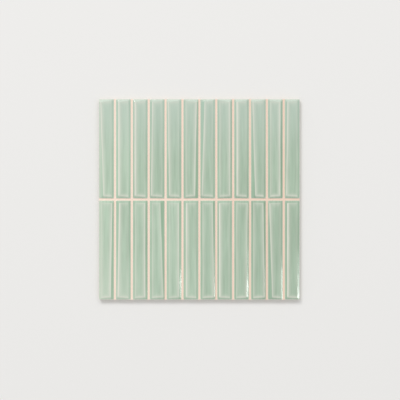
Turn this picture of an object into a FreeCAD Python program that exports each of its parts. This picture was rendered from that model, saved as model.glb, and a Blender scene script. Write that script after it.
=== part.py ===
# Stick mosaic sheet, glazed face up: two rows of bevelled ceramic sticks, the grout
# between them and the open mesh that is glued across their backs.
# Millimetres. X runs across the sticks, +Y along them to their head ends, +Z out of the
# glazed face. The origin is the middle of the sheet's back.
import FreeCAD, Part
import os

JOINT_WIDTH = 3.0

# One fired stick, its thickness measured to the ridge line before that is rounded over
STICK_WIDTH = 22.0
STICK_LENGTH = 147.0
STICK_THICKNESS = 7.5
STICK_CORNER_CUT = 0.8

# Glazed crown: bevels drop from the ridges to a shoulder at the stick's sides and ends
SHOULDER_DROP = 1.8
DISH_DEPTH = 0.3
WEAK_RIDGE_DROP = 0.4
RIDGE_RADIUS = 3.0
WEAK_SIDE_INSET = 4.0
END_INSET_STRONG_SIDE = 5.0
END_INSET_WEAK_SIDE = 3.8

# Strong ridge of each face: its inset from the stick's side at the wide end and the narrow end
FACE_CUTS = {
    "straight": (4.4, 4.4),
    "slim": (3.5, 3.5),
    "taper": (4.6, 2.6),
    "skew": (5.6, 3.2),
    "fan": (7.2, 2.6),
}

# Side of the strong ridge, cut and wide end of each stick, from left to right
UPPER_ROW = (
    "left fan foot", "left straight foot", "left slim foot", "left taper head",
    "left taper foot", "right skew foot", "left fan head", "right slim foot",
    "left straight foot", "left fan foot", "right straight foot", "left taper head",
)
LOWER_ROW = (
    "right skew foot", "left skew head", "right straight foot", "right fan head",
    "right straight foot", "left straight foot", "right taper head", "left slim foot",
    "right taper foot", "right taper head", "left fan foot", "left straight foot",
)

# Keying grooves pressed into the bare back
KEY_GROOVE_COUNT = 2
KEY_GROOVE_WIDTH = 3.0
KEY_GROOVE_DEPTH = 0.5
KEY_GROOVE_PITCH = 9.0
KEY_GROOVE_END_MARGIN = 6.0

# Grout, tooled hollow along each joint
GROUT_BELOW_SHOULDER = 0.15
GROUT_HOLLOW = 0.25

# Mesh glued across the backs, stopping short of the sheet's edges
YARN_WIDTH = 1.2
YARN_THICKNESS = 0.5
YARNS_PER_ROW = 8
MESH_EDGE_MARGIN = 2.0

ROWS = {"upper": UPPER_ROW, "lower": LOWER_ROW}
ROW_SIDE = {"upper": 1, "lower": -1}
COLUMNS = len(UPPER_ROW)
COLUMN_PITCH = STICK_WIDTH + JOINT_WIDTH
ROW_PITCH = STICK_LENGTH + JOINT_WIDTH
SHEET_WIDTH = COLUMNS * COLUMN_PITCH - JOINT_WIDTH
SHEET_LENGTH = len(ROWS) * ROW_PITCH - JOINT_WIDTH

STICK_BACK = YARN_THICKNESS
RIDGE_Z = STICK_BACK + STICK_THICKNESS
WEAK_RIDGE_Z = RIDGE_Z - WEAK_RIDGE_DROP
SHOULDER_Z = RIDGE_Z - SHOULDER_DROP
GROUT_Z = SHOULDER_Z - GROUT_BELOW_SHOULDER

# How far a cutting tool reaches past what it cuts
OVERCUT = 2.0


def point(x, y, z):
    return FreeCAD.Vector(x, y, z)


def column_x(column):
    return (column - (COLUMNS - 1) / 2) * COLUMN_PITCH


def row_y(row):
    return ROW_SIDE[row] * ROW_PITCH / 2


def arc_radius(chord, depth):
    """Radius of the arc that is so deep over its chord."""
    return (chord ** 2 / 4 + depth ** 2) / (2 * depth)


def cornered_prism(width, length, bottom, top):
    """Upright prism centred on the Z axis, with the corner cut of the sticks."""
    block = Part.makeBox(width, length, top - bottom, point(-width / 2, -length / 2, bottom))
    upright = [e for e in block.Edges if e.BoundBox.ZLength > (top - bottom) / 2]
    return block.makeChamfer(STICK_CORNER_CUT, upright)


def dish_tool(strong_side, strong_inset):
    """Round bar along Y whose underside hollows the face between its two ridges."""
    half = STICK_WIDTH / 2
    strong = point(strong_side * (half - strong_inset), 0, RIDGE_Z)
    weak = point(-strong_side * (half - WEAK_SIDE_INSET), 0, WEAK_RIDGE_Z)
    chord = strong - weak
    radius = arc_radius(chord.Length, DISH_DEPTH)
    across = point(-chord.z, 0, chord.x) * (strong_side / chord.Length)
    axis = (strong + weak) / 2 + across * (radius - DISH_DEPTH)
    length = STICK_LENGTH + 2 * OVERCUT
    return Part.makeCylinder(radius, length, axis - point(0, length / 2, 0), point(0, 1, 0))


def bevel_tool(shoulder, ridge, far_ridge):
    """Slab on the plane through a point of the shoulder and the two ends of the ridge."""
    cut = Part.Plane(shoulder, ridge, far_ridge)
    up = cut.Axis if cut.Axis.z > 0 else -cut.Axis
    reach = STICK_LENGTH + STICK_WIDTH
    return cut.toShape(-reach, reach, -reach, reach).extrude(up * STICK_THICKNESS)


def side_bevel(side, wide_end, wide, narrow, ridge_z):
    """Bevel along one side, its ridge inset by wide at one end and by narrow at the other."""
    half = STICK_WIDTH / 2
    wide_y = wide_end * STICK_LENGTH / 2
    return bevel_tool(
        point(side * half, wide_y, SHOULDER_Z),
        point(side * (half - wide), wide_y, ridge_z),
        point(side * (half - narrow), -wide_y, ridge_z),
    )


def end_bevel(end, strong_side):
    """Bevel across one end, wider on the side of the strong ridge."""
    strong_x = strong_side * STICK_WIDTH / 2
    half = STICK_LENGTH / 2
    return bevel_tool(
        point(strong_x, end * half, SHOULDER_Z),
        point(strong_x, end * (half - END_INSET_STRONG_SIDE), RIDGE_Z),
        point(-strong_x, end * (half - END_INSET_WEAK_SIDE), RIDGE_Z),
    )


def ridge_edges(body):
    """The edges all round the dished face."""
    dished = [face for face in body.Faces if isinstance(face.Surface, Part.Cylinder)]
    return dished[0].Edges


def key_groove(x):
    """Shallow groove along the stick's back, closed at both ends."""
    length = STICK_LENGTH - 2 * KEY_GROOVE_END_MARGIN
    corner = point(x - KEY_GROOVE_WIDTH / 2, -length / 2, STICK_BACK - OVERCUT)
    return Part.makeBox(KEY_GROOVE_WIDTH, length, KEY_GROOVE_DEPTH + OVERCUT, corner)


def places(count, pitch):
    """Evenly spaced places about zero."""
    return [(n - (count - 1) / 2) * pitch for n in range(count)]


def stick(code):
    """One stick about its own middle, from its side, cut and wide end in words."""
    side, cut, wide_end = code.split()
    strong_side = 1 if side == "right" else -1
    wide, narrow = FACE_CUTS[cut]
    wide_side = 1 if wide_end == "head" else -1
    body = cornered_prism(STICK_WIDTH, STICK_LENGTH, STICK_BACK, RIDGE_Z + OVERCUT)
    body = body.cut([
        dish_tool(strong_side, narrow),
        side_bevel(strong_side, wide_side, wide, narrow, RIDGE_Z),
        side_bevel(-strong_side, wide_side, WEAK_SIDE_INSET, WEAK_SIDE_INSET, WEAK_RIDGE_Z),
        end_bevel(-1, strong_side),
        end_bevel(1, strong_side),
    ])
    body = body.makeFillet(RIDGE_RADIUS, ridge_edges(body))
    return body.cut([key_groove(x) for x in places(KEY_GROOVE_COUNT, KEY_GROOVE_PITCH)])


def placed_sticks():
    """Node name and solid of every stick, at its place in the sheet."""
    placed = {}
    for row, codes in ROWS.items():
        for column, code in enumerate(codes):
            body = stick(code)
            body.translate(point(column_x(column), row_y(row), 0))
            placed[f"stick_{row}_{column + 1:02d}"] = body
    return placed


def joint_hollow(length):
    """Round bar along Y that tools the hollow into the top of one joint."""
    radius = arc_radius(JOINT_WIDTH, GROUT_HOLLOW)
    start = point(0, -length / 2, GROUT_Z + radius - GROUT_HOLLOW)
    return Part.makeCylinder(radius, length, start, point(0, 1, 0))


def grout_joints():
    """The joints as one cast grid, its walls seated on the sticks' sides."""
    grid = cornered_prism(SHEET_WIDTH, SHEET_LENGTH, STICK_BACK, GROUT_Z)
    pocket = cornered_prism(STICK_WIDTH, STICK_LENGTH, STICK_BACK - OVERCUT, GROUT_Z + OVERCUT)
    tools = []
    for row in ROWS:
        for column in range(COLUMNS):
            tools.append(pocket.translated(point(column_x(column), row_y(row), 0)))
    for x in places(COLUMNS - 1, COLUMN_PITCH):
        tools.append(joint_hollow(SHEET_LENGTH + 2 * OVERCUT).translated(point(x, 0, 0)))
    cross_joint = joint_hollow(SHEET_WIDTH + 2 * OVERCUT)
    tools.append(cross_joint.rotated(point(0, 0, 0), point(0, 0, 1), 90))
    return grid.cut(tools)


def mesh_backing():
    """Flat yarns both ways, bonded into one where they cross."""
    pitch = ROW_PITCH / YARNS_PER_ROW
    across = SHEET_WIDTH - 2 * MESH_EDGE_MARGIN
    along = SHEET_LENGTH - 2 * MESH_EDGE_MARGIN
    half = YARN_WIDTH / 2
    yarns = []
    for x in places(round(COLUMNS * COLUMN_PITCH / pitch), pitch):
        yarns.append(Part.makeBox(YARN_WIDTH, along, YARN_THICKNESS, point(x - half, -along / 2, 0)))
    for y in places(len(ROWS) * YARNS_PER_ROW, pitch):
        yarns.append(Part.makeBox(across, YARN_WIDTH, YARN_THICKNESS, point(-across / 2, y - half, 0)))
    return yarns[0].fuse(yarns[1:]).removeSplitter()


def main():
    os.makedirs("parts", exist_ok=True)
    nodes = placed_sticks()
    nodes["grout_joints"] = grout_joints()
    nodes["mesh_backing"] = mesh_backing()
    for name, shape in nodes.items():
        shape.exportStep(f"parts/{name}.step")
        print(name, shape.isValid(), len(shape.Solids), round(shape.Volume, 1))


main()
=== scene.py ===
# Looks of the stick mosaic sheet: glazed sticks, sanded grout and woven backing, on a pale
# studio floor seen from straight above.
import math
import random

import bmesh
import bpy
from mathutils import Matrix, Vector


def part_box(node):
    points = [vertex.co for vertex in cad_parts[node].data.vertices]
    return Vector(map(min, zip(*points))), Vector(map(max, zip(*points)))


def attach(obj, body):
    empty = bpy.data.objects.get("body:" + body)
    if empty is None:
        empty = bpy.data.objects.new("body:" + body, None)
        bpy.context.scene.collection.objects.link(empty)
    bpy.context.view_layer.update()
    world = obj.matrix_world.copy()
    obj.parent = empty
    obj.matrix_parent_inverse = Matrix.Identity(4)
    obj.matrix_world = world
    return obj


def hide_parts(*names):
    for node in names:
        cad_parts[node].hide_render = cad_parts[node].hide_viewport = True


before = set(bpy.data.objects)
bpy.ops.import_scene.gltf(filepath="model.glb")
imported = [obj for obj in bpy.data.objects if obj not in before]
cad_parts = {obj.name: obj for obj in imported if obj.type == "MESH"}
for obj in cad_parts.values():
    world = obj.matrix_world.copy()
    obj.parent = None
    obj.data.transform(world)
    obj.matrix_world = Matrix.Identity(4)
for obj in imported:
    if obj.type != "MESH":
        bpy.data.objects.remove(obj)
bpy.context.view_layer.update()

MM = 0.001

# Crown of a stick, in millimetres, its thickness measured to the ridge line before rounding
STICK_THICKNESS = 7.5
SHOULDER_DROP = 1.8
WEAK_RIDGE_DROP = 0.4
WEAK_SIDE_INSET = 4.0
END_INSET_STRONG_SIDE = 5.0
END_INSET_WEAK_SIDE = 3.8
FACE_CUTS = {
    "straight": (4.4, 4.4),
    "slim": (3.5, 3.5),
    "taper": (4.6, 2.6),
    "skew": (5.6, 3.2),
    "fan": (7.2, 2.6),
}

# Share of a straight cut's pale line that the strong ridge of each cut shows
RIDGE_THINNING = {"straight": 1.0, "slim": 0.97, "taper": 0.7, "skew": 1.0, "fan": 0.68}

# Side of the strong ridge, cut and wide end of each stick, from left to right
ROWS = {
    "upper": (
        "left fan foot", "left straight foot", "left slim foot", "left taper head",
        "left taper foot", "right skew foot", "left fan head", "right slim foot",
        "left straight foot", "left fan foot", "right straight foot", "left taper head",
    ),
    "lower": (
        "right skew foot", "left skew head", "right straight foot", "right fan head",
        "right straight foot", "left straight foot", "right taper head", "left slim foot",
        "right taper foot", "right taper head", "left fan foot", "left straight foot",
    ),
}

# Softening of the fired edges
RIDGE_ROUND = 0.8
SHOULDER_ROUND = 0.35
EDGE_SEGMENTS = 4
SMOOTH_ANGLE = math.radians(38)

# The face lies a little below the ridges, and from there rings step down into its dish, each
# so wide and so deep
FACE_SETTLE = 0.06
DISH_RINGS = ((0.8, 0.10), (1.3, 0.09), (1.6, 0.07), (1.6, 0.04))

# Spare height of the blank that the crown is cut from
BLANK_SPARE = 1.0

# A face looks up, or down, when its normal rises or falls by more than this
STEEP = 0.9

# Keying grooves of the bare back
KEY_GROOVE_WIDTH = 3.0
KEY_GROOVE_DEPTH = 0.5
KEY_GROOVE_PITCH = 9.0
KEY_GROOVE_END_MARGIN = 6.0

# Sizes that the CAD nodes give: sticks in millimetres, the sheet in metres
first_low, first_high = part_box("stick_upper_01")
STICK_WIDTH = (first_high[0] - first_low[0]) / MM
STICK_LENGTH = (first_high[1] - first_low[1]) / MM
STICK_BACK = first_low[2] / MM
RIDGE_Z = STICK_BACK + STICK_THICKNESS
WEAK_RIDGE_Z = RIDGE_Z - WEAK_RIDGE_DROP
SHOULDER_Z = RIDGE_Z - SHOULDER_DROP
HALF_WIDTH = STICK_WIDTH / 2
HALF_LENGTH = STICK_LENGTH / 2
grout_low, grout_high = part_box("grout_joints")
SHEET_WIDTH = grout_high[0] - grout_low[0]
SHEET_LENGTH = grout_high[1] - grout_low[1]

# A distance too small to count, in millimetres
TINY = 0.01

# Woven backing: flat yarns that pass over and under each other, spaced by the rows of sticks
YARN_WIDTH = 1.2
YARN_ROUND = 0.1
YARN_ROUND_SEGMENTS = 2
YARN_SLACK = 0.02
YARNS_PER_ROW = 8
mesh_low, mesh_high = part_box("mesh_backing")
YARN_LENGTH = (mesh_high[1] - mesh_low[1]) / MM
YARN_THICKNESS = (mesh_high[2] - mesh_low[2]) / MM / 2 - YARN_SLACK
YARN_MIDDLE_Z = (mesh_high[2] + mesh_low[2]) / MM / 2
YARN_RISE = (YARN_THICKNESS + YARN_SLACK) / 2
YARN_PITCH = (first_high[1] + first_low[1]) / MM / YARNS_PER_ROW
CROSSINGS = [(n + 0.5 - YARNS_PER_ROW) * YARN_PITCH for n in range(len(ROWS) * YARNS_PER_ROW)]


def in_metres(x, y, z):
    return Vector((x, y, z)) * MM


# Modelling by hand

def deselect_all():
    bpy.ops.object.select_all(action="DESELECT")


def blank(width, length, height, middle_z):
    """A plain block over the sheet's middle, in millimetres, ready to be worked."""
    deselect_all()
    bpy.ops.mesh.primitive_cube_add(
        size=1,
        location=in_metres(0, 0, middle_z),
        scale=in_metres(width, length, height),
    )
    bpy.ops.object.transform_apply(location=True, rotation=True, scale=True)
    return bpy.context.object


def finish_with(kind, **settings):
    """Adds a modifier to the active piece, sets it and applies it."""
    modifier = bpy.context.object.modifiers.new(kind.title(), kind)
    for name, value in settings.items():
        setattr(modifier, name, value)
    bpy.ops.object.modifier_apply(modifier=modifier.name)


def edit():
    """Opens the active mesh for work on its faces."""
    bpy.ops.object.mode_set(mode="EDIT")
    bpy.ops.mesh.select_mode(type="FACE")


def leave_edit():
    bpy.ops.object.mode_set(mode="OBJECT")


def pick(wanted):
    """Selects the faces that are wanted, and nothing else."""
    bpy.ops.mesh.select_all(action="DESELECT")
    shape = bmesh.from_edit_mesh(bpy.context.object.data)
    for face in shape.faces:
        if wanted(face):
            face.select_set(True)
    bmesh.update_edit_mesh(bpy.context.object.data)


def cut_off(place, across):
    """Planes the mesh off at a place, on the side that across points to, and closes it."""
    bpy.ops.mesh.select_all(action="SELECT")
    bpy.ops.mesh.bisect(plane_co=place, plane_no=across, use_fill=True, clear_outer=True)


def plane_up(a, b, c):
    """The normal of the plane through three points, on its upper side."""
    normal = (b - a).cross(c - a).normalized()
    return normal if normal.z > 0 else -normal


def cut_bevel(shoulder, ridge, far_ridge):
    """Planes the blank down to a plane through three points in millimetres."""
    points = [in_metres(*p) for p in (shoulder, ridge, far_ridge)]
    cut_off(points[0], plane_up(*points))


def cut_crown(strong_side, wide_side, wide, narrow):
    """Cuts the sloping top and the four bevels."""
    strong_x = strong_side * (HALF_WIDTH - narrow)
    weak_x = -strong_side * (HALF_WIDTH - WEAK_SIDE_INSET)
    face_z = RIDGE_Z - FACE_SETTLE
    cut_bevel((strong_x, 0, face_z), (weak_x, 0, face_z - WEAK_RIDGE_DROP), (strong_x, 1, face_z))
    for side, at_wide, at_narrow, ridge_z in (
        (strong_side, wide, narrow, RIDGE_Z),
        (-strong_side, WEAK_SIDE_INSET, WEAK_SIDE_INSET, WEAK_RIDGE_Z),
    ):
        cut_bevel(
            (side * HALF_WIDTH, wide_side * HALF_LENGTH, SHOULDER_Z),
            (side * (HALF_WIDTH - at_wide), wide_side * HALF_LENGTH, ridge_z),
            (side * (HALF_WIDTH - at_narrow), -wide_side * HALF_LENGTH, ridge_z),
        )
    strong_edge = strong_side * HALF_WIDTH
    for end in (-1, 1):
        cut_bevel(
            (strong_edge, end * HALF_LENGTH, SHOULDER_Z),
            (strong_edge, end * (HALF_LENGTH - END_INSET_STRONG_SIDE), RIDGE_Z),
            (-strong_edge, end * (HALF_LENGTH - END_INSET_WEAK_SIDE), RIDGE_Z),
        )


def softness(edge, places):
    """How broadly an edge is rounded: ridges most, shoulders less, the back's edges not at all."""
    ends = [places[index] / MM for index in edge.vertices]
    if all(end.z < STICK_BACK + TINY for end in ends):
        return 0
    outside = [abs(end.x) > HALF_WIDTH - TINY or abs(end.y) > HALF_LENGTH - TINY for end in ends]
    upright = min(end.z for end in ends) < STICK_BACK + TINY
    return SHOULDER_ROUND / RIDGE_ROUND if all(outside) and not upright else 1


def soften_edges(stick):
    """Rounds the ridges, the shoulders and the upright corners."""
    weights = stick.data.attributes.new("bevel_weight_edge", "FLOAT", "EDGE")
    places = [vertex.co for vertex in stick.data.vertices]
    for edge in stick.data.edges:
        weights.data[edge.index].value = softness(edge, places)
    finish_with("BEVEL", limit_method="WEIGHT", width=RIDGE_ROUND * MM, segments=EDGE_SEGMENTS)
    stick.data.attributes.remove(stick.data.attributes["bevel_weight_edge"])


def hollow_face():
    """Steps the face down, ring inside ring, from its four ridges."""
    shape = bmesh.from_edit_mesh(bpy.context.object.data)
    facing_up = [face for face in shape.faces if face.normal.z > STEEP]
    middle = max(facing_up, key=lambda face: face.calc_area()).calc_center_median()
    pick(lambda face: (face.calc_center_median() - middle).length < TINY * MM)
    for width, depth in DISH_RINGS:
        bpy.ops.mesh.inset(thickness=width * MM, depth=-depth * MM)


def is_back(face):
    return face.normal.z < -STEEP


def press_key_grooves():
    """Marks two long strips on the back and sinks them."""
    half = KEY_GROOVE_WIDTH / 2
    end = HALF_LENGTH - KEY_GROOVE_END_MARGIN
    middles = (-KEY_GROOVE_PITCH / 2, KEY_GROOVE_PITCH / 2)
    for x in [middle + side for middle in middles for side in (-half, half)]:
        pick(is_back)
        bpy.ops.mesh.bisect(plane_co=in_metres(x, 0, 0), plane_no=(1, 0, 0))
    for y in (-end, end):
        pick(is_back)
        bpy.ops.mesh.bisect(plane_co=in_metres(0, y, 0), plane_no=(0, 1, 0))

    def in_groove(face):
        centre = face.calc_center_median() / MM
        near = min(abs(centre.x - middle) for middle in middles)
        return is_back(face) and near < half and abs(centre.y) < end

    pick(in_groove)
    bpy.ops.mesh.inset(thickness=0, depth=-KEY_GROOVE_DEPTH * MM)


def ridge_distances(place, strong_side, wide_side, wide, narrow):
    """How far a place lies inside the strong, weak, head and foot ridges, in millimetres."""
    x, y = place.x / MM, place.y / MM
    along = (wide_side * y / HALF_LENGTH + 1) / 2
    strong = HALF_WIDTH - (narrow + (wide - narrow) * along) - strong_side * x
    weak = HALF_WIDTH - WEAK_SIDE_INSET + strong_side * x
    across = (strong_side * x / HALF_WIDTH + 1) / 2
    end_inset = END_INSET_WEAK_SIDE + (END_INSET_STRONG_SIDE - END_INSET_WEAK_SIDE) * across
    head = HALF_LENGTH - end_inset - y
    foot = HALF_LENGTH - end_inset + y
    return strong, weak, head, foot


def fired_stick(code):
    """One stick about the sheet's middle, from its side, cut and wide end in words."""
    side, cut, wide_end = code.split()
    strong_side = 1 if side == "right" else -1
    wide, narrow = FACE_CUTS[cut]
    wide_side = 1 if wide_end == "head" else -1
    height = STICK_THICKNESS + BLANK_SPARE
    stick = blank(STICK_WIDTH, STICK_LENGTH, height, STICK_BACK + height / 2)
    edit()
    cut_crown(strong_side, wide_side, wide, narrow)
    leave_edit()
    soften_edges(stick)
    edit()
    hollow_face()
    press_key_grooves()
    leave_edit()
    bpy.ops.object.shade_smooth_by_angle(angle=SMOOTH_ANGLE)
    finish_with("WEIGHTED_NORMAL", keep_sharp=True)
    held = stick.data.attributes
    held.new("ridges", "FLOAT_VECTOR", "POINT")
    held.new("foot_ridge", "FLOAT", "POINT")
    held.new("ridge_thinning", "FLOAT", "POINT")
    held.new("from_middle", "FLOAT_VECTOR", "POINT")
    for vertex in stick.data.vertices:
        *others, foot = ridge_distances(vertex.co, strong_side, wide_side, wide, narrow)
        held["ridges"].data[vertex.index].vector = others
        held["foot_ridge"].data[vertex.index].value = foot
        held["ridge_thinning"].data[vertex.index].value = RIDGE_THINNING[cut]
        held["from_middle"].data[vertex.index].vector = vertex.co / MM
    return stick


def waved_yarn():
    """One flat yarn along Y that goes up at its first crossing, down at the next, and so on."""
    yarn = blank(YARN_WIDTH, YARN_LENGTH, YARN_THICKNESS, YARN_MIDDLE_Z)
    edit()
    for y in CROSSINGS:
        for edge_y in (y - YARN_WIDTH, y + YARN_WIDTH):
            bpy.ops.mesh.select_all(action="SELECT")
            bpy.ops.mesh.bisect(plane_co=in_metres(0, edge_y, 0), plane_no=(0, 1, 0))
    for number, y in enumerate(CROSSINGS):
        pick(lambda face: abs(face.calc_center_median().y / MM - y) < YARN_WIDTH)
        rise = YARN_RISE if number % 2 == 0 else -YARN_RISE
        bpy.ops.transform.translate(value=in_metres(0, 0, rise))
    leave_edit()
    finish_with("BEVEL", width=YARN_ROUND * MM, segments=YARN_ROUND_SEGMENTS)
    bpy.ops.object.shade_smooth_by_angle(angle=SMOOTH_ANGLE)
    along = yarn.data.attributes.new("along_yarn", "FLOAT_VECTOR", "POINT")
    for vertex in yarn.data.vertices:
        along.data[vertex.index].vector = vertex.co
    return yarn


# Shader arithmetic

class Signal:
    """A shader socket on which plain arithmetic adds its Math nodes."""

    def __init__(self, paint, socket):
        self.paint = paint
        self.socket = socket

    def math(self, operation, *values):
        settings = {"operation": operation}
        return self.paint.signal("ShaderNodeMath", settings, dict(enumerate(values)))

    def __add__(self, other):
        return self.math("ADD", self, other)

    def __radd__(self, other):
        return self.math("ADD", other, self)

    def __sub__(self, other):
        return self.math("SUBTRACT", self, other)

    def __rsub__(self, other):
        return self.math("SUBTRACT", other, self)

    def __mul__(self, other):
        return self.math("MULTIPLY", self, other)

    def __rmul__(self, other):
        return self.math("MULTIPLY", other, self)

    def __neg__(self):
        return 0 - self

    def __abs__(self):
        return self.math("ABSOLUTE", self)

    def above(self, other):
        return self.math("MAXIMUM", self, other)

    def below(self, other):
        return self.math("MINIMUM", self, other)

    def fading(self, reach):
        """1 up to zero, falling off over the reach as the signal grows."""
        return self.math("EXPONENT", self.above(0) * (-1 / reach))

    def rising(self, low, high):
        """0 below low, 1 above high, and smooth between."""
        settings = {"interpolation_type": "SMOOTHSTEP"}
        values = {"Value": self, "From Min": low, "From Max": high}
        return self.paint.signal("ShaderNodeMapRange", settings, values)


class Paint:
    """A material and the nodes that make it."""

    def __init__(self, name):
        self.material = bpy.data.materials.new(name)
        self.material.use_nodes = True
        self.tree = self.material.node_tree
        self.tree.nodes.clear()

    def node(self, kind, settings=None, values=None):
        """Adds a node, sets it, and fills or links its sockets."""
        made = self.tree.nodes.new(kind)
        for name, value in (settings or {}).items():
            setattr(made, name, value)
        for name, value in (values or {}).items():
            if isinstance(value, Signal):
                self.tree.links.new(value.socket, made.inputs[name])
            else:
                made.inputs[name].default_value = value
        return made

    def signal(self, kind, settings=None, values=None, output=0):
        """One output of a new node."""
        return Signal(self, self.node(kind, settings, values).outputs[output])

    def mix(self, factor, first, second, blend="MIX"):
        """Mixes two colours, from the first at 0 to the second at 1."""
        settings = {"data_type": "RGBA", "blend_type": blend}
        return self.signal("ShaderNodeMix", settings, {0: factor, 6: first, 7: second}, output=2)

    def attribute(self, name, output):
        return self.signal("ShaderNodeAttribute", {"attribute_name": name}, output=output)

    def number(self, name):
        return self.attribute(name, output=2)

    def vector(self, name):
        return self.attribute(name, output=1)

    def place(self):
        """The object's own coordinates, in metres."""
        return self.signal("ShaderNodeTexCoord", output=3)

    def axes(self, vector):
        split = self.node("ShaderNodeSeparateXYZ", None, {0: vector})
        return [Signal(self, output) for output in split.outputs]

    def noise(self, pattern, over=None):
        """One of the patterns, from 0 to 1, over the object's own place or another."""
        scale, detail, roughness, squeeze = PATTERNS[pattern]
        values = {0: over or self.place(), 1: (1, squeeze, 1)}
        squeezed = self.signal("ShaderNodeVectorMath", {"operation": "MULTIPLY"}, values)
        values = {"Vector": squeezed, "Scale": scale, "Detail": detail, "Roughness": roughness}
        return self.signal("ShaderNodeTexNoise", None, values)

    def swing(self, pattern):
        """One of the patterns, from -0.5 to 0.5."""
        return self.noise(pattern) - 0.5

    def bump(self, height):
        """Relief from a height in millimetres."""
        values = {"Height": height, "Distance": MM, "Strength": 1.0}
        return self.signal("ShaderNodeBump", None, values)

    def surface(self, values):
        """Gives the material its shader and returns it."""
        shader = self.signal("ShaderNodeBsdfPrincipled", None, values)
        self.node("ShaderNodeOutputMaterial", None, {"Surface": shader})
        return self.material


def srgb(red, green, blue):
    """A colour as seen on the screen, 0 to 255, made linear."""
    def linear(level):
        level /= 255
        return level / 12.92 if level <= 0.04045 else ((level + 0.055) / 1.055) ** 2.4
    return (linear(red), linear(green), linear(blue), 1.0)


# Finishes

GLAZE_LIGHT = srgb(182, 204, 182)
GLAZE_DEEP = srgb(155, 177, 155)
# Painted reflection at the sheet's head, and painted light at its lower left corner
GLAZE_HEAD_REFLECTION = srgb(191, 206, 196)
GLAZE_CORNER_LIGHT = srgb(198, 212, 194)
# Pale colour of glaze run thin over the ridges, also used for painted highlights and painted light
# on rims and outer edges
GLAZE_THIN_AND_LIT = srgb(228, 226, 214)
BARE_CLAY = srgb(226, 216, 200)
GROUT_LIGHT = srgb(249, 227, 211)
GROUT_DEEP = srgb(237, 209, 190)
YARN_LIGHT = srgb(238, 237, 231)
YARN_DEEP = srgb(202, 200, 190)
FLOOR = srgb(234, 233, 231)

# Patterns: patches a metre, finer layers, how rough those are, and how far the patches are
# squeezed along a stick or yarn, where less than 1 draws them out
PATTERNS = {
    "line wander": (45, 2.0, 0.5, 1),
    "line flow": (15, 2.0, 0.5, 1),
    "streaks": (330, 2.0, 0.5, 0.06),
    "clouds": (24, 2.0, 0.5, 0.4),
    "waves": (60, 1.0, 0.5, 0.3),
    "ripples": (400, 2.0, 0.5, 1),
    "glaze line": (90, 2.0, 0.5, 1),
    "clay grain": (2500, 3.0, 0.5, 1),
    "sand": (1800, 3.0, 0.7, 1),
    "grout patches": (30, 2.0, 0.5, 1),
    "filaments": (9000, 2.0, 0.5, 0.02),
    "size": (260, 1.0, 0.5, 1),
}

# What is left of the glaze's colour where it pools on a long bevel, and what painted shade leaves
# of it on a strong bevel at a stick's right, which faces away from the light: red, green, blue
POOLING = (0.91, 0.98, 0.95, 1.0)
RIGHT_BEVEL_SHADE = (0.84, 0.88, 0.83, 1.0)

# Distances past a ridge, down its bevel, over which a pool begins, and over which the painted
# shade on a right-hand strong bevel begins, in millimetres, and how strong a pool at a stick's
# foot is
POOL_START = (0.8, 2.4)
RIGHT_BEVEL_SHADE_START = (0.6, 2.0)
FOOT_POOL = 0.6

# Strength of the pale line along each ridge, the long ones at a stick's left and at its right
STRONG_LINE = (0.92, 0.68)
WEAK_LINE = (0.36, 0.18)
HEAD_LINE = 0.37
FOOT_LINE = 0.55

# How far a line fades into the face, in millimetres
SIDE_FADE = 2.2
HEAD_FADE = 4.0

# Distances inside a ridge, less than 0 on its bevel, over which its own line comes in, and over
# which a line that crosses it ends, in millimetres
LINE_EDGE = (-1.3, -0.5)
FOOT_EDGE = (-3.2, -0.8)
LINE_END = (-1.5, 0)

# How far a line wanders to and fro, in millimetres, and its least flow and what comes on top
LINE_WANDER = 0.8
LINE_FLOW = (0.6, 0.8)

# Painted highlight: a pale rim over the shoulders, where they catch the light, full so near to the
# stick's outline, and gone so far in from it. It is stronger at the foot, from so far above its
# end to so near it. All in millimetres.
RIM = (0.2, 1.1)
RIM_LINE = 0.5
FOOT_RIM = (2, 1)
FOOT_RIM_EXTRA = 0.4

# Painted light: the bevels along the sheet's head and all along its left edge are painted paler,
# as outer edges lit with no neighbour beside them. A place on the sheet is a share of its width or
# length from its middle, and a place on a bevel is in millimetres past its ridge.
PALE_HEAD = 0.2
PALE_HEAD_START = (0.4, 0.45)
PALE_HEAD_BEVEL = (0.5, 1.5)
PALE_LEFT = 0.35
PALE_LEFT_START = (0.478, 0.496)

# Painted reflection tints the glaze paler and bluer towards the sheet's head, and painted light
# makes it paler towards its lower left corner
HEAD_REFLECTION = 0.55
HEAD_REFLECTION_START = (0.1, 0.55)
CORNER_LIGHT = 0.6
CORNER_LIGHT_START = (0.6, 1.0)

# How deep the glaze's colour is at the sheet's left edge, from light at 0 to deep at 1, how
# much deeper the painted shade makes it at the right, and how strong streaks and clouds are beside
# that shade
DEPTH_START = 0.25
DEPTH_SPREAD = 0.5
STREAKS = 2.6
CLOUDS = 1.2

# Height at which the glaze ends on the sticks' sides, how far its edge wanders and how soft it
# is, in millimetres
GLAZE_LINE_Z = 3.4
GLAZE_LINE_WANDER = 1.6
GLAZE_LINE_SOFT = 0.2

# Relief: low waves and fine ripples of the glaze, grain of the bare clay, in millimetres
GLAZE_WAVES = 0.25
GLAZE_RIPPLES = 0.015
CLAY_GRAIN = 0.08
GLAZE_ROUGHNESS = 0.12
CLAY_ROUGHNESS = 0.85

# How strong patches and sand are in the grout's colour, and how high the sand stands, in
# millimetres
GROUT_PATCHES = 0.6
GROUT_SAND = 0.8
SAND_HEIGHT = 0.2
GROUT_ROUGHNESS = 0.92

# How strong filaments and size are in the yarn's colour, how high the filaments stand, in
# millimetres, and how much smoother size makes them
YARN_FILAMENTS = 0.5
YARN_SIZE = 0.4
FILAMENT_HEIGHT = 0.06
YARN_ROUGHNESS = 0.75
SIZE_GLOSS = 0.3

FLOOR_ROUGHNESS = 0.9


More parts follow.
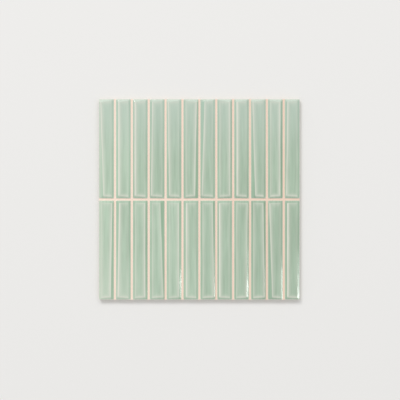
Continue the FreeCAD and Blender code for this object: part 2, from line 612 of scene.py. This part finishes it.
def painted_shade_to_right(paint):
    """Painted shade: 0 at the sheet's left edge and 1 at its right, how much darker its colours
    are painted as the light falls off towards the right.
    """
    x, *_ = paint.axes(paint.place())
    return x * (1 / SHEET_WIDTH) + 0.5


class GlazePlace:
    """Where a point of the glaze lies.

    It knows how far the point is inside each ridge, from the stick's middle and above the
    sheet's back, in millimetres, and where it is on the sheet.
    """

    def __init__(self, paint):
        self.strong, self.weak, self.head = paint.axes(paint.vector("ridges"))
        self.foot = paint.number("foot_ridge")
        self.across, self.along, _ = paint.axes(paint.vector("from_middle"))
        x, y, z = paint.axes(paint.place())
        self.sheet_x = x * (1 / SHEET_WIDTH)
        self.sheet_y = y * (1 / SHEET_LENGTH)
        self.height = z * (1 / MM)

    def on_face(self):
        """1 between the two long ridges."""
        return self.strong.rising(*LINE_END) * self.weak.rising(*LINE_END)

    def within_ends(self):
        """1 between the ridges at head and foot."""
        return self.head.rising(*LINE_END) * self.foot.rising(*LINE_END)


def ridge_lines(paint, at):
    """Pale lines where the glaze runs thin over the ridges."""
    wander = paint.swing("line wander") * LINE_WANDER
    least, more = LINE_FLOW
    flow = least + paint.noise("line flow") * more
    to_right = at.across.rising(-HALF_WIDTH / 2, HALF_WIDTH / 2)

    def line(distance, strength, fade, edge=LINE_EDGE):
        drawn = distance + wander
        return drawn.fading(fade) * drawn.rising(*edge) * strength * flow

    def leaning(at_left, at_right):
        return at_left + to_right * (at_right - at_left)

    strong = line(at.strong, leaning(*STRONG_LINE) * paint.number("ridge_thinning"), SIDE_FADE)
    sides = strong.above(line(at.weak, leaning(*WEAK_LINE), SIDE_FADE))
    foot = line(at.foot, FOOT_LINE, SIDE_FADE, FOOT_EDGE)
    ends = line(at.head, HEAD_LINE, HEAD_FADE).above(foot)
    return (sides * at.within_ends()).above(ends * at.on_face())


def painted_edge_light(at):
    """Painted highlights on the rims over the shoulders, and painted light along the sheet's head
    and left edges.
    """
    to_rim = (HALF_WIDTH - abs(at.across)).below(HALF_LENGTH - abs(at.along))
    above_end, near_end = FOOT_RIM
    at_foot = (-at.along).rising(HALF_LENGTH - above_end, HALF_LENGTH - near_end)
    rim = (1 - to_rim.rising(*RIM)) * (at_foot * FOOT_RIM_EXTRA + RIM_LINE)
    at_head = at.sheet_y.rising(*PALE_HEAD_START) * PALE_HEAD
    head_bevels = (-at.head).rising(*PALE_HEAD_BEVEL) * at_head
    left_edge = (-at.sheet_x).rising(*PALE_LEFT_START) * PALE_LEFT
    return rim.above(head_bevels).above(left_edge)


def glaze_colour(paint, at):
    """Celadon, painted darker from the sheet's left to its right as shade, tinted by a painted
    reflection towards its head and painted lighter towards its lower left corner, a little more or
    less on each stick.
    """
    streaks = paint.swing("streaks") * STREAKS
    clouds = paint.swing("clouds") * CLOUDS
    # Painted shade darkens the glaze from the sheet's left to its right; the firing, streaks and
    # clouds are the glaze's own tone
    drift = painted_shade_to_right(paint) + paint.number("firing") + streaks + clouds
    colour = paint.mix(drift * DEPTH_SPREAD + DEPTH_START, GLAZE_LIGHT, GLAZE_DEEP)
    # Painted reflection towards the sheet's head, painted light towards its lower left corner
    head_reflection = at.sheet_y.rising(*HEAD_REFLECTION_START) * HEAD_REFLECTION
    colour = paint.mix(head_reflection, colour, GLAZE_HEAD_REFLECTION)
    corner_light = (-at.sheet_x - at.sheet_y).rising(*CORNER_LIGHT_START) * CORNER_LIGHT
    return paint.mix(corner_light, colour, GLAZE_CORNER_LIGHT)


def pooled_and_shaded(paint, at, colour):
    """The colour made deeper on the bevels that the glaze runs down, and painted shade on the
    strong bevels at a stick's right.
    """
    long_pool = (-at.strong.below(at.weak)).rising(*POOL_START)
    foot_pool = (-at.foot).rising(*POOL_START) * at.on_face() * FOOT_POOL
    colour = paint.mix(long_pool.above(foot_pool), colour, POOLING, blend="MULTIPLY")
    # Painted shade on the strong bevel at a stick's right, which faces away from the light
    right_bevel_shade = (-at.strong).rising(*RIGHT_BEVEL_SHADE_START) * at.across.rising(0, HALF_WIDTH / 2)
    return paint.mix(right_bevel_shade, colour, RIGHT_BEVEL_SHADE, blend="MULTIPLY")


def glazed_ceramic():
    """Celadon glaze, pale where it runs thin over a ridge and deeper where it pools, with painted
    light and shade across the sheet and on its rims, outer edges and right-hand bevels.
    """
    paint = Paint("celadon_glaze")
    at = GlazePlace(paint)
    # Pale where the glaze runs thin over ridges, with painted highlights and painted light on rims
    # and outer edges
    thin = ridge_lines(paint, at).above(painted_edge_light(at))
    glaze = paint.mix(thin, pooled_and_shaded(paint, at, glaze_colour(paint, at)), GLAZE_THIN_AND_LIT)
    glaze_line = GLAZE_LINE_Z + GLAZE_LINE_WANDER * paint.swing("glaze line")
    glazed = (at.height - glaze_line).rising(-GLAZE_LINE_SOFT, GLAZE_LINE_SOFT)
    waves = paint.noise("waves") * GLAZE_WAVES
    ripples = paint.noise("ripples") * GLAZE_RIPPLES
    grain = paint.noise("clay grain") * CLAY_GRAIN
    return paint.surface({
        "Base Color": paint.mix(glazed, BARE_CLAY, glaze),
        "Roughness": CLAY_ROUGHNESS - glazed * (CLAY_ROUGHNESS - GLAZE_ROUGHNESS),
        "Normal": paint.bump((waves + ripples) * glazed + grain * (1 - glazed)),
    })


def sanded_grout():
    """Cement with fine sand, painted darker from the sheet's left to its right as shade, as the
    glaze is.
    """
    paint = Paint("sanded_grout")
    sand = paint.swing("sand")
    # Painted shade darkens the grout towards the sheet's right; patches and sand are its own tone
    depth = painted_shade_to_right(paint) + paint.swing("grout patches") * GROUT_PATCHES + sand * GROUT_SAND
    return paint.surface({
        "Base Color": paint.mix(depth, GROUT_LIGHT, GROUT_DEEP),
        "Roughness": GROUT_ROUGHNESS,
        "Normal": paint.bump(sand * SAND_HEIGHT),
    })


def glass_yarn():
    """Untwisted glass filaments lying side by side along the yarn, stiffened with size."""
    paint = Paint("glass_yarn")
    filaments = paint.noise("filaments", over=paint.vector("along_yarn"))
    size = paint.noise("size")
    depth = filaments * YARN_FILAMENTS + size * YARN_SIZE
    return paint.surface({
        "Base Color": paint.mix(depth, YARN_LIGHT, YARN_DEEP),
        "Roughness": YARN_ROUGHNESS - size * SIZE_GLOSS,
        "Normal": paint.bump(filaments * FILAMENT_HEIGHT),
    })


def studio_floor():
    paint = Paint("studio_floor")
    return paint.surface({
        "Base Color": FLOOR,
        "Roughness": FLOOR_ROUGHNESS,
        "Specular IOR Level": 0.0,
    })


# The sheet

# How much the firings differ, as a share of the painted shade across the sheet
FIRING_SPREAD = 0.12
KILN_SEED = 24


def fire(stick, depth):
    """Keeps with a stick how much deeper than its neighbours its glaze came out of the kiln."""
    held = stick.data.attributes.new("firing", "FLOAT", "POINT")
    for entry in held.data:
        entry.value = depth


def lay_sticks(finish):
    """Copies each cut of stick to its places in the two rows."""
    chance = random.Random(KILN_SEED)
    patterns = {}
    for row, codes in ROWS.items():
        for number, code in enumerate(codes, 1):
            if code not in patterns:
                patterns[code] = fired_stick(code)
            node = f"stick_{row}_{number:02d}"
            low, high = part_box(node)
            stick = bpy.data.objects.new(f"glazed_{node}", patterns[code].data.copy())
            bpy.context.collection.objects.link(stick)
            middle = (Vector(low) + Vector(high)) / 2
            deselect_all()
            stick.select_set(True)
            bpy.context.view_layer.objects.active = stick
            stick.location = (middle.x, middle.y, 0)
            bpy.ops.object.transform_apply(location=True, rotation=True, scale=True)
            fire(stick, chance.gauss(0, FIRING_SPREAD))
            stick.data.materials.clear()
            stick.data.materials.append(finish)
            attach(stick, "root")
            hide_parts(node)
    for pattern in patterns.values():
        bpy.data.objects.remove(pattern)


def weave_backing(finish):
    """Lays copies of one yarn both ways, each over where its neighbours go under, as one piece."""
    pattern = waved_yarn()
    yarns = []
    for number, place in enumerate(CROSSINGS):
        flip = math.pi if number % 2 else 0
        for name, location, turn in (
            ("warp", in_metres(place, 0, 0), flip),
            ("weft", in_metres(0, place, 0), math.pi / 2 - flip),
        ):
            yarn = bpy.data.objects.new(f"{name}_{number + 1:02d}", pattern.data.copy())
            yarn.location = location
            yarn.rotation_euler.z = turn
            bpy.context.collection.objects.link(yarn)
            yarns.append(yarn)
    bpy.data.objects.remove(pattern)
    deselect_all()
    for yarn in yarns:
        yarn.select_set(True)
    backing = yarns[0]
    bpy.context.view_layer.objects.active = backing
    bpy.ops.object.transform_apply(location=True, rotation=True, scale=True)
    bpy.ops.object.join()
    backing.name = "woven_backing"
    backing.data.materials.append(finish)
    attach(backing, "root")
    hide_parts("mesh_backing")


def dress(node, finish):
    """Gives a CAD node its finish."""
    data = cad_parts[node].data
    data.materials.clear()
    data.materials.append(finish)


# Studio

# The light that the dome gives a flat sheet, where 1 shows a white one as white
DOME = 0.66

# The floor, and how far it stays below the sheet's back, in metres
FLOOR_SIZE = 6
FLOOR_DROP = 0.0001

# The camera hangs straight above, so far over the ridges, and the photo's frame takes in so
# much at the sheet, in metres
CAMERA_HEIGHT = 1.644
CAMERA_LENS = 100
CAMERA_REACH = 20
PHOTO_SIZE = 400
PHOTO_WIDTH = 0.593

# Where the sheet's middle lies in the frame, in pixels from its upper left corner
SHEET_MIDDLE_PX = (199.35, 199.45)


def lay_floor():
    deselect_all()
    bpy.ops.mesh.primitive_plane_add(size=FLOOR_SIZE, location=(0, 0, -FLOOR_DROP))
    floor = bpy.context.object
    floor.name = "floor"
    floor.data.materials.append(studio_floor())


def hang_lamp(name, tilt, turn, distance, size, level):
    """Hangs a lamp, so wide and so long, that faces the sheet.

    It hangs tilt degrees from upright, turned from the sheet's head towards its right, and
    its level is the light it gives a flat sheet, where 1 shows a white one as white.
    """
    tilt, turn = math.radians(tilt), math.radians(turn)
    outward = math.sin(tilt)
    direction = Vector((outward * math.sin(turn), outward * math.cos(turn), math.cos(tilt)))
    lamp = bpy.data.lights.new(name, "AREA")
    lamp.shape = "RECTANGLE"
    lamp.size, lamp.size_y = size
    lamp.energy = level * (math.pi * distance) ** 2 / math.cos(tilt)
    holder = bpy.data.objects.new(name, lamp)
    holder.location = direction * distance
    holder.rotation_euler = (-direction).to_track_quat("-Z", "Y").to_euler()
    bpy.context.collection.objects.link(holder)


def light_studio():
    world = bpy.data.worlds.new("studio")
    world.use_nodes = True
    background = world.node_tree.nodes["Background"]
    background.inputs["Color"].default_value = (1, 1, 1, 1)
    background.inputs["Strength"].default_value = DOME
    bpy.context.scene.world = world
    hang_lamp("left_softbox", tilt=49, turn=-32, distance=9, size=(3.2, 3.2), level=0.25)
    hang_lamp("right_softbox", tilt=49, turn=34, distance=9, size=(3.2, 3.2), level=0.045)
    hang_lamp("head_softbox", tilt=50, turn=0, distance=9, size=(7, 2), level=0.065)
    hang_lamp("side_window", tilt=45.2, turn=100, distance=4.2, size=(0.2, 0.08), level=0.015)


def set_camera():
    camera = bpy.data.cameras.new("camera")
    camera.lens = CAMERA_LENS
    camera.clip_end = CAMERA_REACH
    holder = bpy.data.objects.new("camera", camera)
    per_pixel = PHOTO_WIDTH / PHOTO_SIZE
    x = (PHOTO_SIZE / 2 - SHEET_MIDDLE_PX[0]) * per_pixel
    y = (SHEET_MIDDLE_PX[1] - PHOTO_SIZE / 2) * per_pixel
    holder.location = (x, y, CAMERA_HEIGHT + RIDGE_Z * MM)
    bpy.context.collection.objects.link(holder)
    bpy.context.scene.camera = holder


lay_sticks(glazed_ceramic())
dress("grout_joints", sanded_grout())
weave_backing(glass_yarn())
lay_floor()
light_studio()
set_camera()
bpy.context.scene.view_settings.view_transform = "Standard"
